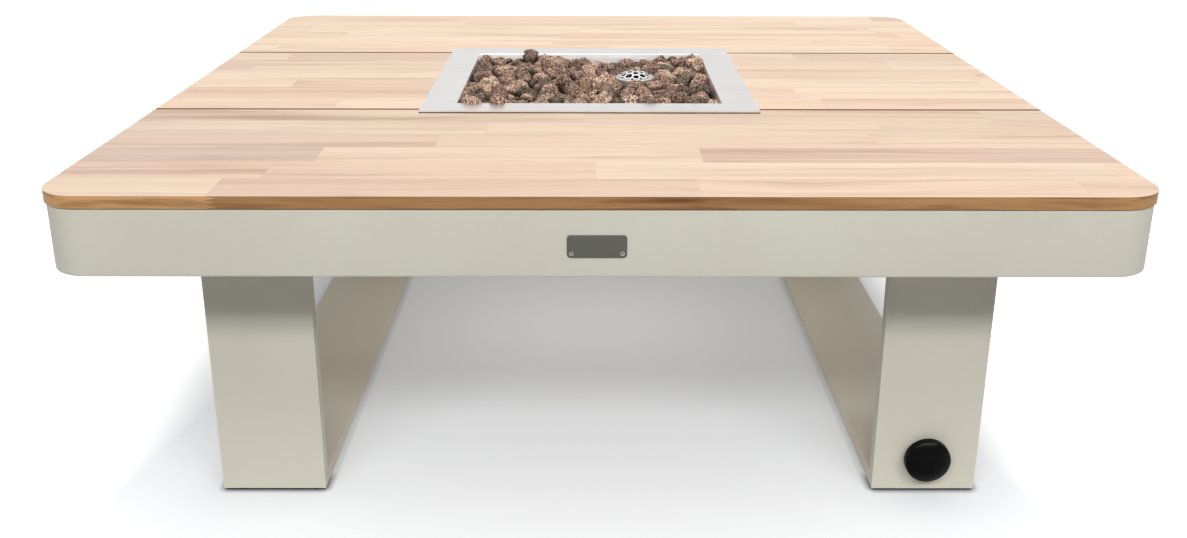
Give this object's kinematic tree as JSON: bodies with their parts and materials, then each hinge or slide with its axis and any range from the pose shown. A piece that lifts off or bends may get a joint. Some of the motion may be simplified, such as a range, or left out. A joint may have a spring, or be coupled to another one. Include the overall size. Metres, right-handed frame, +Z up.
{
  "type": "fire pit table",
  "caption": "Low square outdoor table with a wooden top on a metal apron and loop legs, holding a drop-in gas burner tray filled with lava rocks, and a push-and-turn knob.",
  "frame": {"origin": "on the floor, under the middle of the square top", "axes": "+Z up, -Y towards the front with the knob and the plate, +X to the right seen from the front"},
  "size_m": [1.05, 1.05, 0.388],
  "materials": {
    "wood": "oiled, satin",
    "cream_paint": "fine powder coat, matt",
    "rail_paint": "matt",
    "stainless": "brushed",
    "plate_metal": "brushed",
    "zinc_steel": "zinc plated",
    "brass": "bare",
    "copper": "bare",
    "pipe_metal": "satin",
    "lava": "rough",
    "ceramic": "matt",
    "rubber": "matt",
    "black_plastic": "gloss"
  },
  "bodies": {
    "table": {"front_panel": "wood", "rear_panel": "wood", "left_panel": "wood", "right_panel": "wood", "panel_screws": "zinc_steel", "rail_screws": "zinc_steel", "apron": "cream_paint", "nameplate": "plate_metal", "plate_rivets": "plate_metal", "front_rail": "rail_paint", "front_seam_rail": "rail_paint", "rear_seam_rail": "rail_paint", "rear_rail": "rail_paint", "support_strips": "rubber", "left_leg": "cream_paint", "right_leg": "cream_paint", "leg_bolts": "zinc_steel", "leg_washers": "zinc_steel", "weld_nuts": "zinc_steel", "foot_pads": "rubber", "burner_tray": "stainless", "burner_deck": "stainless", "lava_rocks": "lava", "ignition_guard": "stainless", "guard_screws": "zinc_steel", "pilot_bracket": "stainless", "electrode_insulator": "ceramic", "electrode_pin": "stainless", "thermocouple": "copper", "mixer_elbow": "zinc_steel", "mixer_nut": "zinc_steel", "gas_injector": "brass", "gas_pipe": "pipe_metal", "pipe_nuts": "brass", "pipe_clips": "zinc_steel", "valve_bracket": "zinc_steel", "bracket_screws": "zinc_steel", "valve_body": "brass", "valve_bonnet": "brass", "return_spring": "zinc_steel", "inlet_nipple": "brass"},
    "knob_push": {"spring_collar": "zinc_steel"},
    "knob_turn": {"control_knob": "black_plastic", "valve_spindle": "zinc_steel"}
  },
  "joints": [
    {"name": "knob_press", "type": "slide", "parent": "table", "child": "knob_push", "axis": [0, 1, 0], "range_m": [0, 0.003], "stiffness_N_per_m": 1500, "springref_m": -0.004, "deforming": ["return_spring"]},
    {"name": "knob_rotate", "type": "hinge", "parent": "knob_push", "child": "knob_turn", "pos_m": [0.3595, -0.402, 0.042], "axis": [0, -1, 0], "range_deg": [0, 180]}
  ]
}
